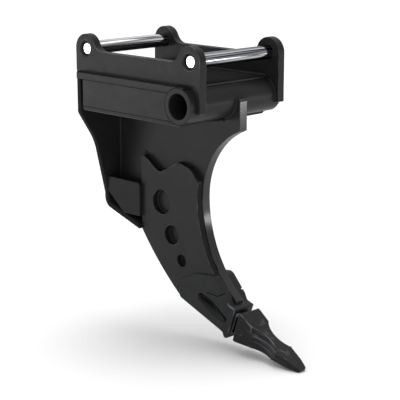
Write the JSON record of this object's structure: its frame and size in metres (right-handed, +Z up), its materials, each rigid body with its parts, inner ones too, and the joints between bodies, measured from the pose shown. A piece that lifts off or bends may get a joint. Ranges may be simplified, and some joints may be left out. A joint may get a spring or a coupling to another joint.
{
  "type": "excavator ripper",
  "caption": "Single-shank excavator ripper: welded two-pin coupler bracket on a cross tube, curved shank with cheek plates, fork adapter and replaceable wedge tooth.",
  "frame": {"origin": "middle of the front coupler pin, on its axis and midway between the ear plates", "axes": "+X forward, from the rear pin to the front pin and the tooth's tip; +Y along the coupler pins to the left-hand side; +Z up, from the tooth to the coupler pins"},
  "size_m": [0.7523, 0.362, 0.8974],
  "materials": {
    "black_paint": "satin black paint over welded plate",
    "cast_paint": "satin black paint over cast and forged steel",
    "chrome": "ground and chromed bar",
    "zinc": "plain zinc-plated steel"
  },
  "bodies": {
    "root": {"ear_plate_left": "black_paint", "ear_plate_right": "black_paint", "front_pin": "chrome", "rear_pin": "chrome", "cross_tube": "black_paint", "deck_plate": "black_paint", "side_panel_left": "black_paint", "side_panel_right": "black_paint", "bottom_plate_left": "black_paint", "bottom_plate_right": "black_paint", "back_plate": "black_paint", "heel_plate": "black_paint", "shank_plate": "black_paint", "cheek_plate_left": "black_paint", "cheek_plate_right": "black_paint", "rear_gusset_left": "black_paint", "rear_gusset_right": "black_paint", "adapter": "cast_paint", "tooth": "cast_paint", "tooth_pin": "cast_paint", "pin_ring": "zinc"}
  },
  "joints": []
}
